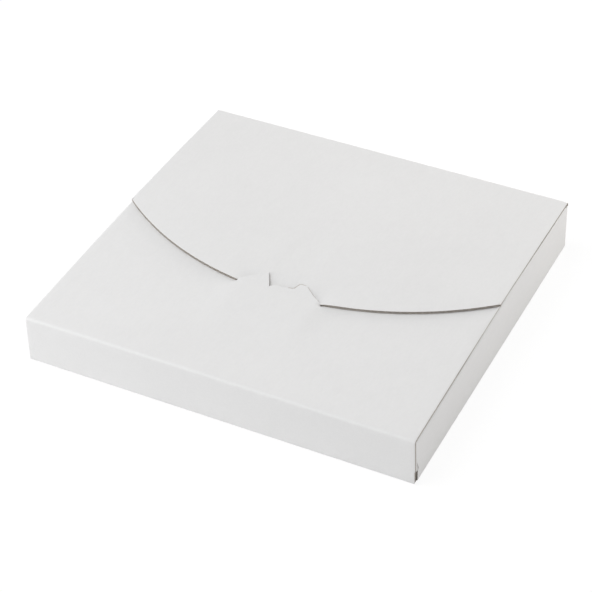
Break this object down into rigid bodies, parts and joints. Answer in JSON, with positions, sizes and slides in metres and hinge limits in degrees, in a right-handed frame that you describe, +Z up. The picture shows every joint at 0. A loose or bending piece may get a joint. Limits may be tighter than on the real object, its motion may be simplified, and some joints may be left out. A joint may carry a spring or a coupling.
{
  "type": "flat shipping box",
  "caption": "Flat square folded mailing box of white micro-flute board, closed by a curved top flap whose tongue locks in a shaped slit.",
  "frame": {"origin": "middle of the underside of the closed box, on the surface that it rests on", "axes": "+Z up, through the thin way of the box; -Y towards the front wall that carries the slit flap; +X to the right, along the back fold"},
  "size_m": [0.2, 0.197, 0.03],
  "materials": {
    "white_board": "uncoated white liner outside and inside, brown fluted medium at the cut edges"
  },
  "bodies": {
    "box": {"carton": "white_board"},
    "lid": {"back_flap": "white_board", "lock_tongue": "white_board"}
  },
  "joints": [
    {"name": "lid_fold", "type": "hinge", "parent": "box", "child": "lid", "pos_m": [0, 0.0985, 0.0282], "axis": [-1, 0, 0], "range_deg": [0, 175], "deforming": ["lock_tongue"]}
  ]
}
